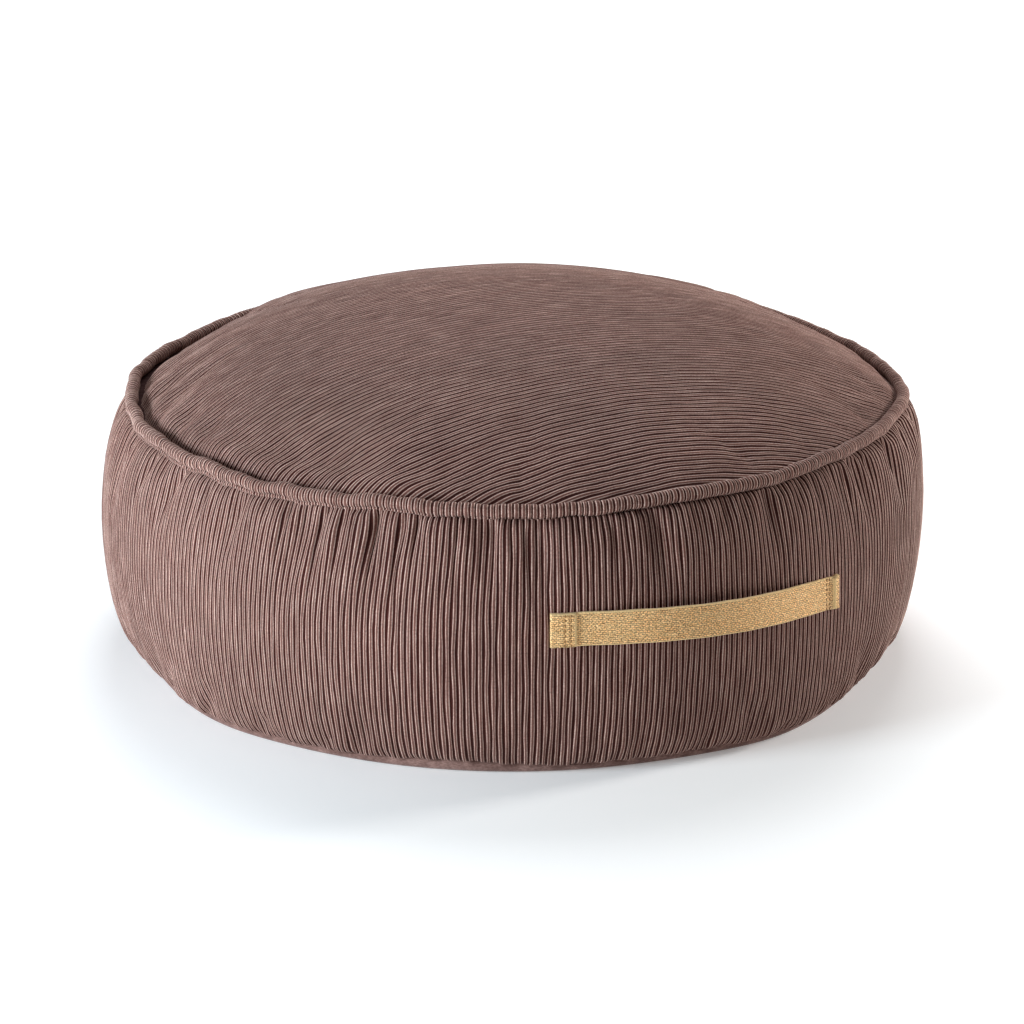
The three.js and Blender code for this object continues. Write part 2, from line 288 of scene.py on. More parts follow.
# Troughs of the crown beside the piping, and fuller shoulders where the depth is below 0; at is
# how far in from the rim each is deepest. The first row goes all the way round.
RIM_FORMS = table(
    "bearing spread depth at reach",
    (0, 1e6, -0.0022, 0, 0.014),
    (-94, 54, 0.0022, 0, 0.014),
    (96, 34, 0.0022, 0, 0.014),
    (-94, 54, 0.0075, 0, 0.006),
    (96, 34, 0.0075, 0, 0.006),
    (-131, 16, 0.0056, 0, 0.034),
    (-78, 44, -0.002, 0.013, 0.008),
    (-161, 17, -0.00378, 0.026, 0.02),
    (118, 24, -0.0042, 0.026, 0.02),
)

# How the wales differ round the pouf: wider apart on the band, swept round under its top seam,
# the band's grooves drawn with less painted shade on its left and more on its right, and the
# crown's wales straying more near the rim
WALE_SPACING = table("bearing spread wider", (-32, 20, 0.075), (-63, 8, -0.06), (44, 12, 0.1))
WALE_SWEEP = table("bearing spread turn", (-48, 18, 1))
WALE_GROOVE_SHADE = table("bearing spread shut leaning", (-70, 18, 1, 0), (52, 22, 0, 1))
WALE_STRAYING = table("bearing spread more", (-8, 30, -0.3), (48, 24, 0.45))
BALD_SPOT = table("bearing spread rubbed below reach", (-80.8, 1.5, 0.85, 0.016, 0.009))
LIP = table("bearing spread shows", (-76, 42, 1))  # where the piping's lip comes out


# Shapes that the pieces share: the same rules as the solids


def wave(bearing, middle, spread):
    """1 at the middle of a wave, fading to 0 on both sides."""
    apart = (bearing - middle + 900) % 360 - 180
    return np.exp(-((apart / spread) ** 2))


def sum_of(rows, column, bearing):
    """What a table of waves adds up to at each bearing."""
    bearing = np.asarray(bearing, float)[..., None]
    return (rows[column] * wave(bearing, rows["bearing"], rows["spread"])).sum(-1)


def gather_depth(rows, bearing, from_seam, reach="length"):
    """How deep the gathers are: nothing in the stitches, deepest just past them."""
    bearing, away = np.broadcast_arrays(bearing, np.maximum(from_seam, 0))
    bearing, away = bearing[..., None], away[..., None]
    opening = 1 - np.exp(-away / STITCH_HOLD)
    fade = np.exp(-((away / rows[reach]) ** 2))
    middle = rows["bearing"] + rows.get("slant", 0) * away / rows[reach]
    return (rows["depth"] * opening * fade * wave(bearing, middle, rows["spread"])).sum(-1)


def top_seam(bearing):
    """Radius and height of the piping's middle."""
    return (
        TOP_SEAM_RADIUS + sum_of(TOP_SEAM_WAVES, "out", bearing),
        TOP_SEAM_HEIGHT + sum_of(TOP_SEAM_WAVES, "rise", bearing),
    )


def base_seam(bearing):
    """Radius and height of the seam between the band and the base cloth."""
    return (
        BASE_SEAM_RADIUS + sum_of(BASE_SEAM_WAVES, "out", bearing),
        BASE_SEAM_HEIGHT + sum_of(BASE_SEAM_WAVES, "rise", bearing),
    )


def uneven(bearing, harmonics, seed):
    """An uneven run round the pouf, between about -1 and 1."""
    starts = np.random.default_rng(seed).uniform(0, 2 * np.pi, len(harmonics))
    turn = np.radians(bearing)
    runs = [np.sin(count * turn + start) for count, start in zip(harmonics, starts)]
    return sum(runs) / math.sqrt(len(harmonics))


def placed(bearing, radius, height):
    """Points from bearings in degrees, radii and heights."""
    turn = np.radians(bearing)
    return np.stack(np.broadcast_arrays(radius * np.sin(turn), -radius * np.cos(turn), height), -1)


def band_radius(bearing, share):
    """Radius and height of the band's face; share runs from 0 at the top seam to 1 at the base."""
    seam_radius, seam_height = top_seam(bearing)
    foot_radius, foot_height = base_seam(bearing)
    top_height = seam_height - BAND_TOP_DROP
    top_radius = seam_radius - BAND_TOP_INSET
    height = top_height + (foot_height - top_height) * share
    skewed = np.clip(share, 0, 1) ** BAND_SLUMP
    swell = BAND_SWELL * (4 * skewed * (1 - skewed)) ** BAND_FULLNESS
    lean = BAND_LEAN * np.cos(np.radians(bearing - BAND_LEAN_BEARING)) * np.sin(math.pi * share)
    gathers = gather_depth(TOP_GATHERS, bearing, top_height - height)
    gathers = gathers + gather_depth(BASE_GATHERS, bearing, height - foot_height)
    even = top_radius + (BASE_SEAM_RADIUS - top_radius) * share
    straight = even + (foot_radius - BASE_SEAM_RADIUS) * share**2
    return straight + swell + lean - gathers, height


def band_radius_at(bearing, height):
    """Radius of the band's face at a height."""
    top_height = top_seam(bearing)[1] - BAND_TOP_DROP
    return band_radius(bearing, (top_height - height) / (top_height - base_seam(bearing)[1]))[0]


def crown_rim(bearing):
    """Radius at which the crown meets the piping."""
    return top_seam(bearing)[0] - PIPING_RADIUS - SEAM_GAP


def crown_height(bearing, share):
    """Height of the crown; share runs from 0 in the middle to 1 at its rim."""
    even = CROWN_ROUND * share**2
    edge = (1 - CROWN_ROUND) * share**CROWN_SHOULDER
    towards = np.cos(np.radians(bearing - CROWN_LEAN_BEARING))
    lean = 1 + CROWN_LEAN * share * towards * (1 - share**2)
    dents = gather_depth(CROWN_DENTS, bearing, (1 - share) * crown_rim(bearing), "reach")
    lift = (top_seam(bearing)[1] - TOP_SEAM_HEIGHT) * share**2
    return TOP_SEAM_HEIGHT + lift + CROWN_RISE * (1 - even - edge) * lean - dents


# Meshes


def in_scene(name, data):
    """An object that holds some data, put in the scene."""
    made = bpy.data.objects.new(name, data)
    bpy.context.scene.collection.objects.link(made)
    return made


def new_mesh(name, points, faces, values=None, cloth=None):
    """A mesh object from points, faces and point values; cloth gives each face corner's place
    on the flat cloth, and becomes the UV map of that name."""
    mesh = bpy.data.meshes.new(name)
    mesh.from_pydata(np.asarray(points).tolist(), [], faces)
    for key, data in (values or {}).items():
        column = mesh.attributes.new(key, "FLOAT", "POINT").data
        column.foreach_set("value", np.asarray(data, np.float32))
    if cloth is not None:
        corners = mesh.uv_layers.new(name="cloth").data
        corners.foreach_set("uv", np.asarray(cloth, np.float32).ravel())
    mesh.shade_smooth()
    return in_scene(name, mesh)


def grid_faces(rows, columns, rows_close=False, columns_close=True, start=0):
    """Quads of a grid of points, and the rows and columns of their corners."""
    row, column = np.meshgrid(
        np.arange(rows if rows_close else rows - 1),
        np.arange(columns if columns_close else columns - 1),
        indexing="ij",
    )
    at_row = np.stack([row, row + 1, row + 1, row], -1).reshape(-1, 4)
    at_column = np.stack([column, column, column + 1, column + 1], -1).reshape(-1, 4)
    return start + (at_row % rows) * columns + at_column % columns, at_row, at_column


def fan_faces(loop, centre):
    """Triangles from a centre to each edge of a closed loop of points."""
    return [(centre, a, b) for a, b in zip(loop, np.roll(loop, -1))]


def run_along(points):
    """Distances along a line of points, or along each of several lines."""
    steps = np.linalg.norm(np.diff(points, axis=-2), axis=-1)
    return np.concatenate([np.zeros((*steps.shape[:-1], 1)), np.cumsum(steps, axis=-1)], -1)


# Filling: each filled panel is blown up between its seams before the fine mesh is laid on it

SIM_STEPS = 20
CLOTH_SETTINGS = {
    "quality": 6,
    "mass": 0.3,
    "tension_stiffness": 25,
    "compression_stiffness": 25,
    "shear_stiffness": 8,
    "bending_stiffness": 0.6,
    "use_pressure": True,
    "uniform_pressure_force": 4,
    "vertex_group_mass": "seams",
}


def blown(name, points, held, grow, most):
    """How far a closed round of cloth moves when it is filled: points is a grid of rows round the
    pouf, held the rows that a seam holds, grow the share by which the cloth is too large, and
    most the furthest that a point may move."""
    rows, columns = points.shape[:2]
    cloth = new_mesh(name, points.reshape(-1, 3), grid_faces(rows, columns)[0].tolist())
    seams = cloth.vertex_groups.new(name="seams")
    for row in held:
        seams.add(range(row * columns, (row + 1) * columns), 1.0, "REPLACE")
    sim = cloth.modifiers.new("fill", "CLOTH")
    for setting, value in CLOTH_SETTINGS.items():
        setattr(sim.settings, setting, value)
    sim.settings.shrink_min = -grow
    sim.settings.effector_weights.gravity = 0
    sim.point_cache.frame_start, sim.point_cache.frame_end = 1, SIM_STEPS
    for step in range(SIM_STEPS):
        bpy.context.scene.frame_set(step + 1)
    filled = cloth.evaluated_get(bpy.context.evaluated_depsgraph_get()).to_mesh()
    after = np.empty(points.size, np.float32)
    filled.vertices.foreach_get("co", after)
    bpy.context.scene.frame_set(1)
    bpy.data.objects.remove(cloth)
    moved = after.reshape(points.shape) - points
    moved = moved - moved.mean(axis=1, keepdims=True) * [0, 0, 1]
    distance = np.maximum(np.linalg.norm(moved, axis=2, keepdims=True), 1e-9)
    return moved * np.minimum(1, most / distance)


def outwards(moved, bearing):
    """Movements of a grid as outwards, round and upwards, less what each row shares."""
    turn = np.radians(bearing)
    out = moved[..., 0] * np.sin(turn) - moved[..., 1] * np.cos(turn)
    around = moved[..., 0] * np.cos(turn) + moved[..., 1] * np.sin(turn)
    return np.stack([out - out.mean(1, keepdims=True), around, moved[..., 2]], -1)


def looked_up(grid, row, bearing):
    """Values of a grid of rows round the pouf, between its points."""
    rows, columns = grid.shape[:2]
    row = np.clip(row, 0, rows - 1.000001)
    column = (bearing % 360) / 360 * columns
    r, c = np.floor(row).astype(int), np.floor(column).astype(int)
    fr, fc = (row - r)[..., None], (column - c)[..., None]
    c, after = c % columns, (c + 1) % columns
    near = grid[r, c] * (1 - fc) + grid[r, after] * fc
    far = grid[r + 1, c] * (1 - fc) + grid[r + 1, after] * fc
    return near * (1 - fr) + far * fr


def band_fill():
    """How the filling moves the band's face near its seams."""
    rows, columns = BAND_SIM
    share = (1 - np.cos(np.pi * np.arange(rows) / (rows - 1))) / 2
    share, bearing = np.meshgrid(share, np.arange(columns) * 360 / columns, indexing="ij")
    points = placed(bearing, *band_radius(bearing, share))
    moved = blown("band_cloth", points, [0, rows - 1], grow=0.03, most=0.006)
    near_seam = np.exp(-((share / 0.3) ** 2)) + np.exp(-(((1 - share) / 0.22) ** 2))
    return outwards(moved, bearing) * near_seam[..., None] * 0.65


def crown_fill():
    """How the filling moves the crown."""
    rows, columns = CROWN_SIM
    share = np.linspace(CROWN_EYE, 1, rows)
    share, bearing = np.meshgrid(share, np.arange(columns) * 360 / columns, indexing="ij")
    points = placed(bearing, share * crown_rim(bearing), crown_height(bearing, share))
    return outwards(blown("crown_cloth", points, [rows - 1], grow=0.004, most=0.003), bearing)


band_moved = band_fill()
crown_moved = crown_fill()


def band_point(bearing, share):
    """A point of the filled band's face."""
    radius, height = band_radius(bearing, share)
    radius = radius - gather_depth(TOP_CREASES, bearing, share * BAND_LENGTH)
    radius = radius - gather_depth(BASE_CREASES, bearing, (1 - share) * BAND_LENGTH)
    row = np.arccos(1 - 2 * np.clip(share, 0, 1)) / math.pi * (BAND_SIM[0] - 1)
    moved = looked_up(band_moved, row, bearing)
    around = np.degrees(moved[..., 1] / radius)
    return placed(bearing + around, radius + moved[..., 0], height + moved[..., 2])


def rim_depth(bearing, inwards):
    """How deep the troughs beside the piping are, less the shoulders."""
    apart = (inwards[..., None] - RIM_FORMS["at"]) / RIM_FORMS["reach"]
    around = wave(bearing[..., None], RIM_FORMS["bearing"], RIM_FORMS["spread"])
    return (RIM_FORMS["depth"] * around * np.exp(-(apart**2))).sum(-1)


def crown_point(bearing, share):
    """A point of the filled crown."""
    radius = share * crown_rim(bearing)
    inwards = (1 - share) * crown_rim(bearing)
    lowered = rim_depth(bearing, inwards) + gather_depth(CROWN_CREASES, bearing, inwards)
    points = placed(bearing, radius, crown_height(bearing, share) - lowered)
    row = (share - CROWN_EYE) / (1 - CROWN_EYE) * (CROWN_SIM[0] - 1)
    moved = looked_up(crown_moved, row, bearing) * np.minimum(share / CROWN_EYE, 1)[..., None]
    turn = np.radians(bearing)
    points[..., 0] += moved[..., 0] * np.sin(turn) + moved[..., 1] * np.cos(turn)
    points[..., 1] += moved[..., 1] * np.sin(turn) - moved[..., 0] * np.cos(turn)
    points[..., 2] += moved[..., 2]
    return points


# Corduroy: lines of points that follow the wales, and the tree that raises the pile on them


def wale_phases(wales):
    """Wale numbers of the lines of points, six to a wale with one in the groove."""
    return (np.arange(wales)[:, None] + WALE_COLUMNS).ravel()


def drawn_grooves(number, edge, middle=0.5):
    """Wale numbers for the material, which draws each groove's painted shade and each rib's pale
    painted highlight narrower or wider than the grooves are woven; edge is where the first line
    beside the groove falls, 0.13 of a wale as woven, and middle what the crest is drawn as, less
    than 0.5 where the groove's painted shade is drawn wider."""
    whole = np.floor(number + 1e-6)
    column = np.searchsorted(WALE_COLUMNS, number - whole + 1e-6) - 1
    edge, middle = np.broadcast_to(edge, number.shape), np.broadcast_to(middle, number.shape)
    drawn = np.stack([0 * edge, edge, edge + 0.1, middle, 0.9 - edge, 1 - edge])
    return whole + np.take_along_axis(drawn, column[None], 0)[0]


def add(tree, kind, inputs=None, **settings):
    """Adds a node with its settings; inputs gives its sockets a value, or a link from a socket
    or from a node's first output."""
    made = tree.nodes.new(kind)
    for name, value in settings.items():
        setattr(made, name, value)
    for name, value in (inputs or {}).items():
        if isinstance(value, bpy.types.Node):
            value = value.outputs[0]
        if isinstance(value, bpy.types.NodeSocket):
            tree.links.new(value, made.inputs[name])
        else:
            made.inputs[name].default_value = value
    return made


def begun_tree(name, geometry, *sizes):
    """A Geometry Nodes tree that takes and gives a geometry, and its named inputs."""
    tree = bpy.data.node_groups.new(name, "GeometryNodeTree")
    tree.is_modifier = True
    sockets = [(geometry, "NodeSocketGeometry"), *((size, "NodeSocketFloat") for size in sizes)]
    for socket, kind in (*sockets, ("Finish", "NodeSocketMaterial")):
        tree.interface.new_socket(socket, in_out="INPUT", socket_type=kind)
    tree.interface.new_socket(geometry, in_out="OUTPUT", socket_type="NodeSocketGeometry")
    return tree, add(tree, "NodeGroupInput").outputs


def ended_tree(tree, geometry, finish):
    """Ends a tree: its instances are made real and get their material."""
    whole = add(tree, "GeometryNodeRealizeInstances", {"Geometry": geometry})
    finished = add(tree, "GeometryNodeSetMaterial", {"Geometry": whole, "Material": finish})
    add(tree, "NodeGroupOutput", {0: finished})
    return tree


def raise_wales_tree():
    """Geometry Nodes: pushes each point out along its normal by the wale's outline, from the
    point values wale (the number of the wale) and pile (how high it stands there)."""
    tree, given = begun_tree("raise wales", "Cloth", "Pile Height")
    wale, pile = (
        add(tree, "GeometryNodeInputNamedAttribute", {"Name": name}, data_type="FLOAT")
        for name in ("wale", "pile")
    )
    across = add(tree, "ShaderNodeMath", {0: wale}, operation="FRACT")
    outline = add(tree, "ShaderNodeFloatCurve", {"Value": across})
    curve = outline.mapping.curves[0]
    curve.points[0].location, curve.points[1].location = (0, 0), (1, 0)
    for place, height in zip(WALE_COLUMNS[1:], WALE_OUTLINE):
        curve.points.new(place, height)
    outline.mapping.update()
    height = add(tree, "ShaderNodeMath", {0: outline, 1: pile}, operation="MULTIPLY")
    inputs = {0: height, 1: given["Pile Height"]}
    height = add(tree, "ShaderNodeMath", inputs, operation="MULTIPLY")
    inputs = {0: add(tree, "GeometryNodeInputNormal"), "Scale": height}
    offset = add(tree, "ShaderNodeVectorMath", inputs, operation="SCALE")
    moved = add(tree, "GeometryNodeSetPosition", {"Geometry": given["Cloth"], "Offset": offset})
    return ended_tree(tree, moved, given["Finish"])


def grown(piece, tree, **inputs):
    """Runs a Geometry Nodes tree on a piece and keeps the result as its plain mesh."""
    modifier = piece.modifiers.new(tree.name, "NODES")
    modifier.node_group = tree
    for socket in tree.interface.items_tree:
        key = socket.name.lower().replace(" ", "_")
        if socket.in_out == "INPUT" and key in inputs:
            modifier[socket.identifier] = inputs[key]
    graph = bpy.context.evaluated_depsgraph_get()
    done = bpy.data.meshes.new_from_object(
        piece.evaluated_get(graph), preserve_all_data_layers=True, depsgraph=graph
    )
    piece.modifiers.clear()
    piece.data = done
    done.name = piece.name
    done.shade_smooth()
    return piece


# Side band

# Rows of the band's points, in millimetres below its upper edge and above its lower one
ROWS_FROM_TOP = [0, 0.7, 1.5, 2.4, 3.4, 4.8, 6.8, 9.5, 13, 17.5, 23, 30, 38, 47, 57, 68, 80, 93]
ROWS_FROM_BASE = [0, 0.8, 1.8, 3.2, 5, 7.5, 11, 15.5, 21, 28, 36, 45, 55, 66, 78]


def band_shares():
    """Shares of the band's height at which its rows lie."""
    upper = np.array(ROWS_FROM_TOP) / 1000 / BAND_LENGTH
    lower = 1 - np.array(ROWS_FROM_BASE[::-1]) / 1000 / BAND_LENGTH
    return np.concatenate([upper, lower])


def wale_bearings(points, fine, phases):
    """Where each line of points lies in one row. The wales keep their distance along the cloth,
    so more of them go into a fold, and its neighbours are drawn in."""
    steps = np.linalg.norm(np.roll(points, -1, axis=0) - points, axis=1)
    window = 2 * len(fine) * 5 // 360 + 1  # 5 degrees to each side
    padded = np.concatenate([steps[-window:], steps, steps[:window]])
    weights = np.hanning(window)
    around = np.convolve(padded, weights / weights.sum(), "same")[window:-window]
    wide = 1 + sum_of(WALE_SPACING, "wider", fine)
    run = np.concatenate([[0], np.cumsum((steps / around) ** 1.25 / wide)])
    return np.interp(phases / BAND_WALES, run / run[-1], np.append(fine, 360.0))


def side_band():
    """The band with its bulge, gathers and creases, closed under the crown and over the base."""
    shares = band_shares()
    fine = np.arange(2880) / 8
    surface = band_point(fine[None, :], shares[:, None])
    phases = wale_phases(BAND_WALES)
    wales = np.array([wale_bearings(row, fine, phases) for row in surface])
    from_top = shares[:, None] * BAND_LENGTH
    wander = uneven(wales, (47, 83, 131, 190), 3) * np.sin(from_top * 95 + wales / 9)
    wales = wales + 0.07 * wander * np.minimum(from_top / 0.01, 1)
    wales = wales + sum_of(WALE_SWEEP, "turn", wales) * np.exp(-((from_top / 0.05) ** 2))
    points = band_point(wales, shares[:, None])
    rows, columns = wales.shape
    faces, at_row, at_column = grid_faces(rows, columns)
    bearing = phases / BAND_WALES * 360
    # Painted shade: the band's dark grooves are drawn narrower on its left and wider on its right
    shut, leaning = (sum_of(WALE_GROOVE_SHADE, way, bearing) for way in ("shut", "leaning"))
    drawn = drawn_grooves(phases, 0.13 + 0.012 * shut - 0.085 * leaning, 0.5 - 0.14 * leaning)
    number = np.append(drawn, BAND_WALES)
    down = run_along(points[:, 0])
    cloth = np.stack([number[at_column] / 10, down[at_row]], -1).reshape(-1, 2)
    first = np.arange(columns)
    last = first[::-1] + (rows - 1) * columns
    lids = fan_faces(first, rows * columns) + fan_faces(last, rows * columns + 1)
    middles = [[0, 0, TOP_SEAM_HEIGHT - SEAM_DROP - SEAM_GAP], [0, 0, BASE_SEAM_HEIGHT]]
    whole = np.concatenate([points.reshape(-1, 3), middles])
    cloth = np.concatenate([cloth, np.zeros((3 * len(lids), 2))])
    below = np.exp(-(((from_top - BALD_SPOT["below"]) / BALD_SPOT["reach"]) ** 2))
    bald = sum_of(BALD_SPOT, "rubbed", wales) * below
    pile = (1 + 0.12 * uneven(wales, (37, 71, 113, 178, 233), 5)) * (1 - bald)
    pile[-1] *= 0.6
    values = {
        "wale": np.append(np.tile(phases, rows), [0, 0]),
        "pile": np.append(pile.ravel(), [0, 0]),
    }
    return new_mesh("side_band_cover", whole, faces.tolist() + lids, values, cloth)


# Top panel


def across_at(number, along):
    """How far across the panel a wale lies, from its number and the place along it: the wales
    bow, and crowd a little towards both ends."""
    share = (along / TOP_SEAM_RADIUS) ** 2
    length = (number * TOP_WALE_PITCH - 0.065 * share) / (1 + 0.172 * share)
    reach = np.linspace(-0.36, 0.36, 1441)
    inside = np.minimum(np.abs(reach) / TOP_SEAM_RADIUS, 1)
    fall = CROWN_ROUND * inside**2 + (1 - CROWN_ROUND) * inside**CROWN_SHOULDER
    arc = run_along(np.stack([reach, CROWN_RISE * (1 - fall)], -1))
    return np.interp(length, arc - np.interp(0, reach, arc), reach)


def polar(points):
    """Bearings and radii of points in plan."""
    x, y = points[..., 0], points[..., 1]
    return np.degrees(np.arctan2(x, -y)), np.hypot(x, y)


def in_plan(along, across):
    """Points in plan from how far they lie along the wales of the top panel and across them."""
    turn = math.radians(TOP_WALE_TURN)
    along_axis = np.array([math.cos(turn), math.sin(turn)])
    across_axis = np.array([-math.sin(turn), math.cos(turn)])
    return along[:, None] * along_axis + across[:, None] * across_axis


def straying(plan):
    """How far the wales of the crown stray sideways where it is eased into the seam."""
    bearing, radius = polar(plan)
    inwards = np.maximum(crown_rim(bearing) - radius, 0)
    strength = (radius / TOP_SEAM_RADIUS) ** 3 * (1 - np.exp(-((inwards / 0.007) ** 2)))
    eased = 0.7 + sum_of(WALE_STRAYING, "more", bearing)
    return 0.0014 * strength * eased * uneven(bearing, (13, 22, 31, 43), 31)


def crown_line(number, count):
    """Points in plan of one line of the crown from rim to rim, closer together near the rim;
    nothing where the line misses the crown."""
    reach = np.linspace(-0.34, 0.34, 1361)
    bearing, radius = polar(in_plan(reach, across_at(number, reach)))
    spare = crown_rim(bearing) - radius
    inside = np.flatnonzero(spare > 0)
    if len(inside) < 24:
        return None
    first, last = inside[0], inside[-1]
    start = reach[first] - 0.0005 * spare[first] / (spare[first] - spare[first - 1])
    end = reach[last] + 0.0005 * spare[last] / (spare[last] - spare[last + 1])
    t = np.linspace(0, 1, count)
    t = t + 0.11 * np.sin(4 * np.pi * t) / (4 * np.pi) - 0.5 * np.sin(2 * np.pi * t) / (2 * np.pi)
    place = start + (end - start) * t
    across = across_at(number, place)
    return in_plan(place, across + straying(in_plan(place, across)))


def top_panel(length=118):
    """The crown with its wales, turned down at its rim and closed below."""
    numbers = wale_phases(TOP_WALES) - TOP_WALES / 2
    lines = [(number, crown_line(number, length)) for number in numbers]
    kept, plan = (np.array(part) for part in zip(*(pair for pair in lines if pair[1] is not None)))
    bearing, radius = polar(plan)
    share = radius / crown_rim(bearing)
    share[:, [0, -1]] = 1
    share[[0, -1], :] = 1
    points = crown_point(bearing, np.minimum(share, 1))
    count = len(kept)
    faces, at_line, at_place = (
        part[:, [0, 3, 2, 1]] for part in grid_faces(count, length, columns_close=False)
    )
    run = run_along(points)
    run -= run[:, [length // 2]]
    number = drawn_grooves(kept, 0.138)
    cloth = np.stack([number[at_line] / 10, run[at_line, at_place]], -1).reshape(-1, 2)
    grid = np.arange(count * length).reshape(count, length)
    loop = np.concatenate([grid[0, :-1], grid[:-1, -1], grid[-1, :0:-1], grid[:0:-1, 0]])
    hem = points.reshape(-1, 3)[loop]
    hem[:, 2] = top_seam(polar(hem)[0])[1] - 0.007
    under = np.arange(len(loop)) + count * length
    skirt = np.stack([loop, under, np.roll(under, -1), np.roll(loop, -1)], -1)
    lid = fan_faces(under[::-1], count * length + len(loop))
    middle = [[0, 0, TOP_SEAM_HEIGHT - SEAM_DROP]]
    whole = np.concatenate([points.reshape(-1, 3), hem, middle])
    cloth = np.concatenate([cloth, np.zeros((4 * len(skirt) + 3 * len(lid), 2))])
    values = {
        "wale": np.concatenate([np.repeat(kept, length), np.zeros(len(loop) + 1)]),
        "pile": np.concatenate([np.ones(count * length), np.zeros(len(loop) + 1)]),
    }
    return new_mesh("top_panel_cover", whole, faces.tolist() + skirt.tolist() + lid, values, cloth)


# Piping: the corded roll, and below it the thin lip of its folded edge, which shows on one side


def roll_line(bearing):
    """Radius and height of the roll's middle, which strays a little from the seam."""
    radius, height = top_seam(bearing)
    shows = sum_of(LIP, "shows", bearing)
    return (
        radius + (0.0003 + 0.0006 * shows) * uneven(bearing, (27, 44), 12),
        height + (0.0004 + 0.0005 * shows) * uneven(bearing, (23, 52), 13),
    )


def roll_thickness(bearing):
    lumps = 0.00022 + 0.00018 * sum_of(LIP, "shows", bearing)
    return PIPING_RADIUS - ROLL_UNDER_RIBS + lumps * uneven(bearing, (19, 33, 58, 90), 11)


def lip_line(bearing):
    """Radius and height of the lip's middle, which comes out from under the roll."""
    radius, height = roll_line(bearing)
    out = 0.0034 * sum_of(LIP, "shows", bearing) - 0.0012
    return (
        radius + out + 0.0002 * uneven(bearing, (41, 73), 14),
        height - 0.0054 + 0.0003 * uneven(bearing, (31, 66, 101), 15),
    )


def lip_thickness(bearing):
    return 0.0007 + 0.0009 * sum_of(LIP, "shows", bearing)


def ribbed_roll(line, thickness, around, start=0):
    """Points, faces, rib numbers and cloth of a ribbed roll round the pouf, with so many points
    around it."""
    phase, turn = np.meshgrid(
        wale_phases(PIPING_RIBS), np.arange(around) * 2 * np.pi / around, indexing="ij"
    )
    loose = 0.12 * uneven(phase / PIPING_RIBS * 360, (61, 97, 149), 8)
    bearing = (phase + loose) / PIPING_RIBS * 360
    radius, height = line(bearing)
    thick = thickness(bearing)
    points = placed(bearing, radius + thick * np.cos(turn), height + thick * np.sin(turn))
    faces, at_line, at_side = grid_faces(len(phase), around, rows_close=True, start=start)
    number = drawn_grooves(np.append(wale_phases(PIPING_RIBS), PIPING_RIBS), 0.19)
    cloth = np.stack([number[at_line] / 10, at_side * 0.0023], -1).reshape(-1, 2)
    return points.reshape(-1, 3), faces.tolist(), phase.ravel(), cloth


def piping():
    roll = ribbed_roll(roll_line, roll_thickness, 14)
    lip = ribbed_roll(lip_line, lip_thickness, 6, len(roll[0]))
    points, faces, phases, cloth = zip(roll, lip)
    pile = np.repeat([1, 0.35], [len(part) for part in phases])
    values = {"wale": np.concatenate(phases), "pile": pile}
    whole = np.concatenate(points)
    return new_mesh("top_piping_cover", whole, faces[0] + faces[1], values, np.concatenate(cloth))


# Base panel


def base_panel(columns=720):
    """The plain cloth: flat on the floor, turned up at its edge, and puckered in the seam."""
    bearing = np.arange(columns) * 360 / columns
    seam_radius, seam_height = base_seam(bearing)
    pucker = 0.0005 * uneven(bearing, (61, 96, 143), 23)
    ease = 0.001 * uneven(bearing, (23, 37, 58), 21) + 0.0005 * uneven(bearing, (131, 170, 211), 22)
    foot = seam_radius - BASE_TURN
    top = seam_height + 0.001 + ease
    rings = [(share * foot, 0) for share in (0.3, 0.6, 0.85, 0.97)]
    for turn in np.radians([0, 15, 30, 45, 60, 75, 90]):
        rings.append((foot + BASE_TURN * np.sin(turn), BASE_TURN * (1 - np.cos(turn))))
    rings.append((seam_radius + pucker, (BASE_TURN + top) / 2))
    rings.append((seam_radius - 0.0002 + pucker, top))
    rings.append((seam_radius - 0.004, top - 0.0006))
    points = [placed(bearing, radius, height) for radius, height in rings]
    rows = len(points)
    middles = [[0, 0, 0], [0, 0, BASE_SEAM_HEIGHT - SEAM_GAP]]
    faces = [face[::-1] for face in grid_faces(rows, columns)[0].tolist()]
    faces += fan_faces(np.arange(columns)[::-1], rows * columns)
    faces += fan_faces(np.arange(columns) + (rows - 1) * columns, rows * columns + 1)
    return new_mesh("base_panel_cover", np.concatenate([*points, middles]), faces)


# Handle


def stand_off(along):
    """How far the inner layer of the webbing stands off the band."""
    share = np.minimum(np.abs(along) / (HANDLE_LENGTH / 2 - HANDLE_FOLD), 1)
    return SEAM_GAP + HANDLE_BOW * (1 - share**2) ** 1.5


def web_point(along, across, lift):
    """A point of the webbing: along and across it, and above the band's face."""
    part = along / (HANDLE_LENGTH / 2)
    height = HANDLE_HEIGHT - HANDLE_TILT / 2 * part + HANDLE_ARCH * (1 - part**2) + across
    bearing = np.degrees(along / (BASE_SEAM_RADIUS + BAND_SWELL))
    return placed(bearing, band_radius_at(bearing, height) + lift, height)


def web_thickness(along, across):
    """Two layers at each end, the fold's edge pressed through, and rounded selvedges."""
    end = HANDLE_LENGTH / 2
    past = np.where(np.asarray(along) > 0, FOLD_EDGE[1], FOLD_EDGE[-1]) - end + np.abs(along)
    folded = 1 / (1 + np.exp(-past / 0.0004))
    fold_edge = np.exp(-((past / 0.0008) ** 2))
    sunk = sum(
        np.exp(-(((along - at * (end - inset)) / 0.0011) ** 2))
        for at, insets in STITCH_ROWS.items()
        for inset in insets
    )
    tip = np.sqrt(1 - ((np.abs(along) - end + 0.0016) / 0.0016).clip(0, 1) ** 2)
    side = np.abs(across) / (WEB_WIDTH / 2)
    selvedge = 1 + 0.22 * np.exp(-(((side - 0.9) / 0.07) ** 2)) - 0.45 * side**24
    layers = WEB_THICKNESS * (1 + folded * tip)
    return layers * selvedge + 0.0005 * fold_edge - 0.0004 * sunk


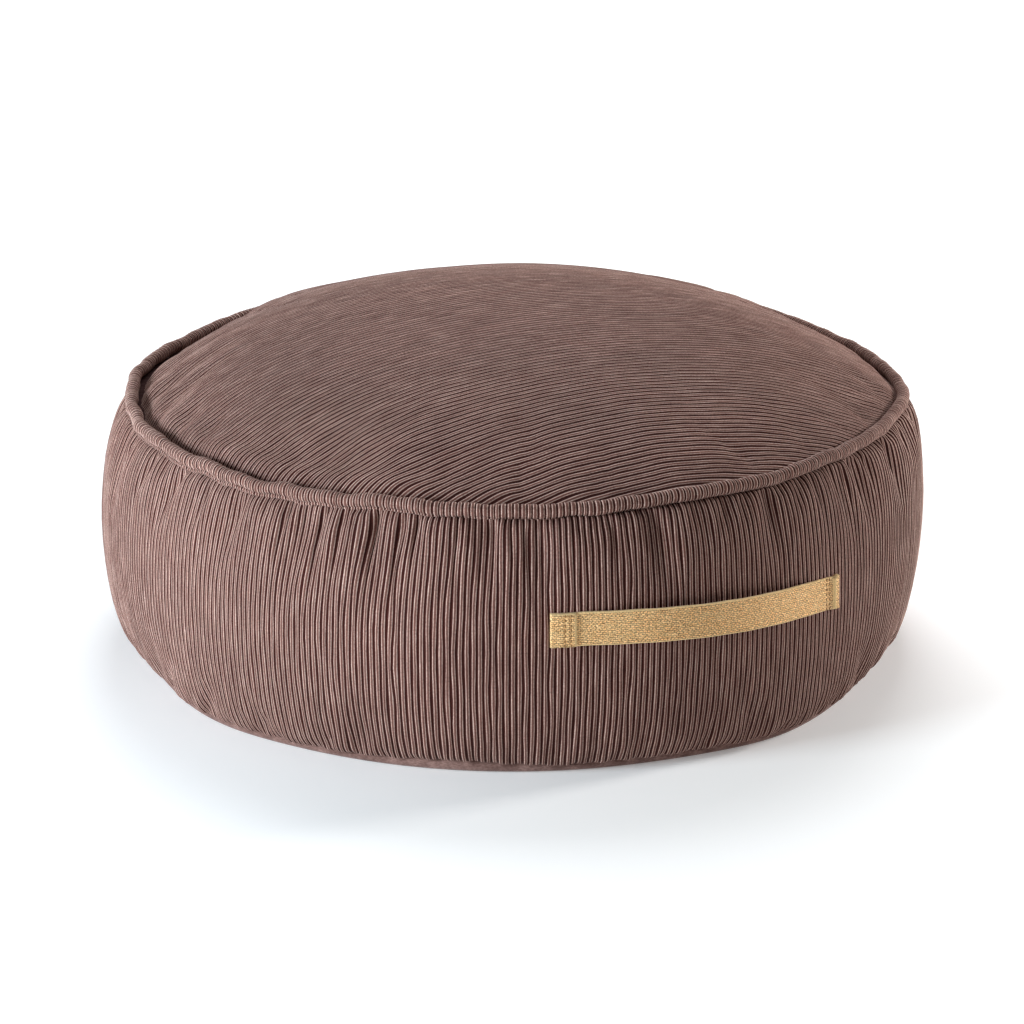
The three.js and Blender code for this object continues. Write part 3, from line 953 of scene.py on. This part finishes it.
def handle_webbing(columns=21):
    """The webbing, with an outer and an inner face, and its upper right corner turned up."""
    end = HANDLE_LENGTH / 2
    steps = [np.linspace(-end, end, 201)]
    steps += [np.linspace(start, start + 0.022, 45) for start in (-end, end - 0.022)]
    side = np.linspace(-1, 1, columns)
    length, width = np.meshgrid(
        np.unique(np.concatenate(steps).round(6)),
        WEB_WIDTH / 2 * np.sign(side) * np.abs(side) ** 0.75,
        indexing="ij",
    )
    wavy = 0.0001 * np.sin(length * 190) * (np.abs(width) > 0.4 * WEB_WIDTH)
    from_corner = ((length - end + 0.001) / 0.0032) ** 2 + ((width - WEB_WIDTH / 2) / 0.004) ** 2
    wavy = wavy + 0.0014 * np.exp(-from_corner)
    outer = web_point(length, width + wavy, stand_off(length) + web_thickness(length, width))
    inner = web_point(length, width + wavy, stand_off(length))
    ring = np.concatenate([outer, inner[:, ::-1]], axis=1)
    flat = np.stack([length, width], -1)
    flat = np.concatenate([flat, flat[:, ::-1]], axis=1)
    count, around = ring.shape[:2]
    faces, at_row, at_column = grid_faces(count, around)
    first = list(range(around))
    last = [(count - 1) * around + place for place in first]
    corners = flat[at_row, at_column % around].reshape(-1, 2)
    cloth = np.concatenate([corners, flat[0], flat[-1][::-1]])
    faces = faces.tolist() + [first, last[::-1]]
    return new_mesh("handle_webbing", ring.reshape(-1, 3), faces, None, cloth)


def stitch_path():
    """The rows of stitches across the webbing's two ends, as one mesh of edges."""
    points, edges = [], []
    across = np.linspace(-0.0112, 0.0112, 25)
    for end, insets in STITCH_ROWS.items():
        for inset in insets:
            along = end * (HANDLE_LENGTH / 2 - inset) + 0 * across
            lift = stand_off(along) + web_thickness(along, across) + 0.00015
            edges += [(len(points) + i, len(points) + i + 1) for i in range(len(across) - 1)]
            points += web_point(along, across, lift).tolist()
    mesh = bpy.data.meshes.new("handle_stitching")
    mesh.from_pydata(points, edges, [])
    return in_scene("handle_stitching", mesh)


def sew_tree():
    """Geometry Nodes: lays a short rounded stitch at even steps along each path."""
    tree, given = begun_tree("sew a row", "Path", "Stitch Length", "Stitch Step", "Thread Radius")
    rows = add(tree, "GeometryNodeMeshToCurve", {"Mesh": given["Path"]})
    inputs = {"Curve": rows, "Length": given["Stitch Step"]}
    steps = add(tree, "GeometryNodeResampleCurve", inputs, mode="LENGTH")
    bead = add(tree, "GeometryNodeMeshUVSphere", {"Segments": 8, "Rings": 6, "Radius": 1.0})
    half = add(tree, "ShaderNodeMath", {0: given["Stitch Length"], 1: 0.5}, operation="MULTIPLY")
    inputs = {"X": given["Thread Radius"], "Y": given["Thread Radius"], "Z": half}
    size = add(tree, "ShaderNodeCombineXYZ", inputs)
    inputs = {"Vector": add(tree, "GeometryNodeInputTangent")}
    turn = add(tree, "FunctionNodeAlignRotationToVector", inputs, axis="Z")
    inputs = {"Points": steps, "Instance": bead, "Rotation": turn, "Scale": size}
    sewn = add(tree, "GeometryNodeInstanceOnPoints", inputs)
    return ended_tree(tree, sewn, given["Finish"])


# Materials


def linear(code):
    """A linear colour from an sRGB hex value."""
    parts = [int(code[i : i + 2], 16) / 255 for i in (1, 3, 5)]
    return [p / 12.92 if p <= 0.04045 else ((p + 0.055) / 1.055) ** 2.4 for p in parts] + [1.0]


def new_material(name, settings):
    """A material's tree and Principled BSDF, with what is the same all over its surface."""
    material = bpy.data.materials.new(name)
    material.use_nodes = True
    shader = material.node_tree.nodes["Principled BSDF"]
    for socket, value in settings.items():
        shader.inputs[socket].default_value = value
    return material, material.node_tree, shader


def ramp_stops(node, *stops):
    """Sets a Color Ramp's stops from places and hex colours."""
    ramp = node.color_ramp
    ramp.elements.remove(ramp.elements[-1])
    ramp.elements[0].position, ramp.elements[0].color = stops[0][0], linear(stops[0][1])
    for place, code in stops[1:]:
        ramp.elements.new(place).color = linear(code)


def mottled(tree, place, scale, low, high, detail=2.0, roughness=0.5):
    """Noise at a scale, and the tones from low to high that it gives."""
    spread = add(tree, "ShaderNodeMapping", {"Vector": place, "Scale": scale})
    inputs = {"Vector": spread, "Scale": 1.0, "Detail": detail, "Roughness": roughness}
    noise = add(tree, "ShaderNodeTexNoise", inputs)
    inputs = {"Value": noise, "From Min": 0.3, "From Max": 0.7, "To Min": low, "To Max": high}
    return noise, add(tree, "ShaderNodeMapRange", inputs)


def dressed(tree, shader, colour, height, strength, distance):
    """Gives a shader its colour, and a fine relief from a height."""
    inputs = {"Height": height, "Strength": strength, "Distance": distance}
    bump = add(tree, "ShaderNodeBump", inputs)
    tree.links.new(colour, shader.inputs["Base Color"])
    tree.links.new(bump.outputs[0], shader.inputs["Normal"])


def corduroy_cut_pile():
    """Cotton corduroy, woven with a cut pile and brushed: soft ribs with a matt brown top, a pale
    painted highlight on each rib's sides, and painted shade, almost black, down in the groove,
    where the ground weave is also a little darker than the pile."""
    settings = {
        "Roughness": 0.92,
        "Specular IOR Level": 0.18,
        "Sheen Weight": 0.08,
        "Sheen Roughness": 0.42,
        "Sheen Tint": linear("#ffe9e2"),
    }
    material, tree, shader = new_material("cotton_corduroy_cut_pile", settings)
    cloth = add(tree, "ShaderNodeUVMap", uv_map="cloth")
    parts = add(tree, "ShaderNodeSeparateXYZ", {0: cloth})
    number = add(tree, "ShaderNodeMath", {0: parts, 1: 10.0}, operation="MULTIPLY")
    to_groove = number  # these steps make it 0 on top of a wale and 1 in the groove
    for operation, by in (("FRACT", 0), ("SUBTRACT", 0.5), ("ABSOLUTE", 0), ("MULTIPLY", 2)):
        to_groove = add(tree, "ShaderNodeMath", {0: to_groove, 1: by}, operation=operation)
    place = add(tree, "ShaderNodeCombineXYZ", {"X": number, "Y": parts.outputs[1]})
    # Pile tufts: 1.1 mm across and 1.6 mm along a wale of 4.4 mm, drawn about three times as
    # coarse as the real thread so that they show
    tufts, tone = mottled(tree, place, (4, 640, 1), 0.66, 1.34, 3.0, 0.6)
    # Fine lines along a wale, where the cut pile parts
    parting = mottled(tree, place, (5, 45, 1), -0.07, 0.07)[1]
    # The pile is brushed a little differently from place to place
    where = add(tree, "ShaderNodeTexCoord").outputs["Object"]
    brushed = mottled(tree, where, (14, 14, 14), 0.93, 1.07)[1]
    # Each wale is a little lighter or darker than the next, and changes slowly along its length
    streaks = mottled(tree, place, (1.7, 16, 1), 0.84, 1.16)[1]
    for factor in (brushed, streaks):
        tone = add(tree, "ShaderNodeMath", {0: tone, 1: factor}, operation="MULTIPLY")
    edge = add(tree, "ShaderNodeMath", {0: to_groove, 1: parting})
    # The ramp paints each rib: its own brown on top, a pale painted highlight on its sides, and
    # painted shade down in the groove
    colour = add(tree, "ShaderNodeValToRGB", {"Fac": edge})
    ramp_stops(
        colour,
        (0.0, "#644139"),
        (0.22, "#69463e"),
        (0.34, "#9b7c70"),
        (0.42, "#cbb1a6"),
        (0.48, "#b5998d"),
        (0.55, "#7a5349"),
        (0.62, "#43201a"),
        (1.0, "#300f0b"),
    )
    toned = add(tree, "ShaderNodeVectorMath", {0: colour, "Scale": tone}, operation="SCALE")
    dressed(tree, shader, toned.outputs[0], tufts, 0.28, 0.0006)
    return material


def plain_woven_cloth():
    """Plain-woven cotton for the base: flat brown with a fine criss-cross of threads."""
    settings = {"Roughness": 0.9, "Specular IOR Level": 0.2, "Sheen Weight": 0.15}
    material, tree, shader = new_material("plain_woven_cotton", settings)
    where = add(tree, "ShaderNodeTexCoord").outputs["Object"]
    # Threads 0.5 mm apart, drawn at 1.2 mm so that they show
    spread = add(tree, "ShaderNodeMapping", {"Vector": where, "Scale": (420, 420, 1100)})
    weave = add(tree, "ShaderNodeTexNoise", {"Vector": spread, "Scale": 1.0, "Detail": 2.0})
    slubs = add(tree, "ShaderNodeTexNoise", {"Vector": where, "Scale": 90.0, "Detail": 3.0})
    mixed = add(tree, "ShaderNodeMath", {0: weave, 1: slubs}, operation="MULTIPLY")
    colour = add(tree, "ShaderNodeValToRGB", {"Fac": mixed})
    ramp_stops(colour, (0.1, "#5a3f38"), (0.25, "#7a5c54"), (0.42, "#93746b"))
    dressed(tree, shader, colour.outputs[0], mixed, 0.5, 0.0004)
    return material


def woven_webbing():
    """Cotton webbing, woven flat and dyed ochre: short threads that run along it between darker
    pin gaps, with a paler, tighter selvedge, and a painted highlight along the edge of each fold."""
    settings = {"Roughness": 0.85, "Specular IOR Level": 0.25, "Sheen Weight": 0.1}
    material, tree, shader = new_material("woven_cotton_webbing", settings)
    cloth = add(tree, "ShaderNodeUVMap", uv_map="cloth")
    along, across = add(tree, "ShaderNodeSeparateXYZ", {0: cloth}).outputs[:2]
    # The threads stray by up to a millimetre
    stray = add(tree, "ShaderNodeTexNoise", {"Vector": cloth, "Scale": 420.0, "Detail": 2.0})
    inputs = {0: stray.outputs["Color"], 1: (0.5, 0.5, 0.5)}
    drift = add(tree, "ShaderNodeVectorMath", inputs, operation="SUBTRACT")
    drift = add(tree, "ShaderNodeVectorMath", {0: drift, "Scale": 0.0022}, operation="SCALE")
    # Threads 2.6 mm long and 1.4 mm apart, a third coarser than real so that they show
    inputs = {
        "Vector": add(tree, "ShaderNodeVectorMath", {0: cloth, 1: drift}),
        "Color1": linear("#ffd599"),
        "Color2": linear("#f8c384"),
        "Mortar": linear("#6d4119"),
        "Scale": 1.0,
        "Mortar Size": 0.00026,
        "Mortar Smooth": 0.9,
        "Brick Width": 0.0026,
        "Row Height": 0.0014,
    }
    threads = add(tree, "ShaderNodeTexBrick", inputs, offset=0.5)
    side = add(tree, "ShaderNodeMath", {0: across}, operation="ABSOLUTE")
    inputs = {"Value": side, "From Min": 0.0114, "From Max": 0.0119, "To Min": 0.0, "To Max": 0.8}
    pale = add(tree, "ShaderNodeMapRange", inputs)
    # The edge of each fold is painted pale, a painted highlight on its ridge, this far to both
    # sides
    for end, wide in ((-1, 0.0008), (1, 0.0011)):
        inputs = {0: along, 1: end * (HANDLE_LENGTH / 2 - FOLD_EDGE[end]), 2: wide}
        rubbed = add(tree, "ShaderNodeMath", inputs, operation="COMPARE")
        rubbed = add(tree, "ShaderNodeMath", {0: rubbed, 1: 0.85}, operation="MULTIPLY")
        pale = add(tree, "ShaderNodeMath", {0: pale, 1: rubbed}, operation="MAXIMUM")
    fuzz, tone = mottled(tree, cloth, (620, 620, 620), 0.6, 1.32)
    toned = add(tree, "ShaderNodeVectorMath", {0: threads, "Scale": tone}, operation="SCALE")
    inputs = {0: pale, 6: toned, 7: linear("#ffdca0")}
    colour = add(tree, "ShaderNodeMix", inputs, data_type="RGBA")
    inputs = {0: fuzz, 1: threads.outputs["Fac"]}
    height = add(tree, "ShaderNodeMath", inputs, operation="SUBTRACT")
    dressed(tree, shader, colour.outputs[2], height, 0.8, 0.0004)
    return material


def twisted_thread():
    """Twisted sewing thread, darker than the webbing it sinks into."""
    material, tree, shader = new_material("twisted_sewing_thread", {"Roughness": 0.7})
    where = add(tree, "ShaderNodeTexCoord").outputs["Object"]
    inputs = {"Vector": where, "Scale": 500.0, "Distortion": 0.0}
    twist = add(tree, "ShaderNodeTexWave", inputs, bands_direction="DIAGONAL")
    colour = add(tree, "ShaderNodeValToRGB", {"Fac": twist.outputs["Fac"]})
    ramp_stops(colour, (0.0, "#7a5429"), (1.0, "#a0743f"))
    tree.links.new(colour.outputs[0], shader.inputs["Base Color"])
    return material


def pale_floor():
    """Painted board: plain, matt and nearly white. Far from the pouf it glows a little, as a lit
    studio sweep does, so it stays pale."""
    settings = {
        "Roughness": 0.95,
        "Specular IOR Level": 0.1,
        "Emission Color": linear("#ffffff"),
    }
    material, tree, shader = new_material("matt_painted_board", settings)
    where = add(tree, "ShaderNodeTexCoord").outputs["Object"]
    mottling = add(tree, "ShaderNodeTexNoise", {"Vector": where, "Scale": 3.0})
    colour = add(tree, "ShaderNodeValToRGB", {"Fac": mottling})
    ramp_stops(colour, (0.0, "#f4f4f3"), (1.0, "#f7f7f6"))
    away = add(tree, "ShaderNodeVectorMath", {0: where}, operation="LENGTH").outputs["Value"]
    inputs = {"Value": away, "From Min": 0.9, "From Max": 2.6, "To Min": 0.2, "To Max": 0.86}
    glow = add(tree, "ShaderNodeMapRange", inputs, interpolation_type="SMOOTHSTEP")
    tree.links.new(colour.outputs[0], shader.inputs["Base Color"])
    tree.links.new(glow.outputs[0], shader.inputs["Emission Strength"])
    return material


# The pouf

corduroy = corduroy_cut_pile()
raise_wales = raise_wales_tree()
band = grown(side_band(), raise_wales, pile_height=WALE_HEIGHT, finish=corduroy)
crown = grown(top_panel(), raise_wales, pile_height=WALE_HEIGHT, finish=corduroy)
cord = grown(piping(), raise_wales, pile_height=RIB_HEIGHT, finish=corduroy)
base = base_panel()
base.data.materials.append(plain_woven_cloth())
handle = handle_webbing()
handle.data.materials.append(woven_webbing())
stitches = grown(
    stitch_path(),
    sew_tree(),
    stitch_length=0.0023,
    stitch_step=0.0036,
    thread_radius=0.00042,
    finish=twisted_thread(),
)

for piece, slot, node in (
    (band, "corduroy", "side_band"),
    (crown, "corduroy", "top_panel"),
    (cord, "corduroy", "top_piping"),
    (base, "plain_cloth", "base_panel"),
    (handle, "webbing", "handle_strap"),
    (stitches, "webbing", None),
):
    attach(piece, "root")
    if node:
        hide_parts(node)

# Floor, light and camera

CAMERA_TURN = 26.15  # degrees that the camera stands to the left of the handle
CAMERA_RISE = 17.3  # degrees that it stands above its target
CAMERA_PITCH = 19.434  # degrees that it looks down
CAMERA_DISTANCE = 2.7
CAMERA_TARGET = Vector((0, 0, TOP_SEAM_HEIGHT))
FOCAL_LENGTH = 3455.7 / 1024  # in widths of the picture
SENSOR_WIDTH = 36.0  # millimetres
FLOOR_HALF = 30.0


def seen_from_camera(right, away, up):
    """A point from how far it is to the camera's right, away from it, and up."""
    turn = math.radians(CAMERA_TURN)
    return Vector(
        (
            right * math.cos(turn) + away * math.sin(turn),
            away * math.cos(turn) - right * math.sin(turn),
            up,
        )
    )


def floor():
    mesh = bpy.data.meshes.new("floor")
    corners = [(x * FLOOR_HALF, y * FLOOR_HALF, 0) for x, y in ((-1, -1), (1, -1), (1, 1), (-1, 1))]
    mesh.from_pydata(corners, [], [(0, 1, 2, 3)])
    mesh.materials.append(pale_floor())
    made = in_scene("floor", mesh)
    made.location.z = -0.0003


def area_light(name, place, width, height, power, colour):
    """A soft rectangular light that faces the middle of the pouf."""
    light = bpy.data.lights.new(name, "AREA")
    light.shape, light.size, light.size_y = "RECTANGLE", width, height
    light.energy, light.color = power, linear(colour)[:3]
    made = in_scene(name, light)
    made.location, made.visible_camera = place, False
    facing = Vector((0, 0, 0.12)) - place
    made.rotation_euler = facing.to_track_quat("-Z", "Y").to_euler()


def camera():
    data = bpy.data.cameras.new("camera")
    data.sensor_width, data.lens = SENSOR_WIDTH, FOCAL_LENGTH * SENSOR_WIDTH
    data.clip_start, data.clip_end = 0.05, 60
    made = in_scene("camera", data)
    rise = math.radians(CAMERA_RISE)
    back, up = CAMERA_DISTANCE * math.cos(rise), CAMERA_DISTANCE * math.sin(rise)
    made.location = CAMERA_TARGET + seen_from_camera(0, -back, up)
    made.rotation_euler = (math.radians(90 - CAMERA_PITCH), 0, -math.radians(CAMERA_TURN))
    bpy.context.scene.camera = made


floor()
area_light("key", seen_from_camera(-1.17, -0.85, 0.42), 0.45, 0.45, 25.4, "#e7f5ff")
area_light("side", seen_from_camera(2.3, 0.6, 0.75), 0.4, 0.5, 44, "#fdfbf9")
area_light("top", seen_from_camera(0.1, 1.3, 1.9), 1.4, 1.4, 42, "#fafcff")

world = bpy.data.worlds.new("studio")
world.use_nodes = True
background = world.node_tree.nodes["Background"]
background.inputs["Color"].default_value = linear("#ffffff")
background.inputs["Strength"].default_value = 0.155
bpy.context.scene.world = world
bpy.context.scene.view_settings.view_transform = "Standard"
camera()
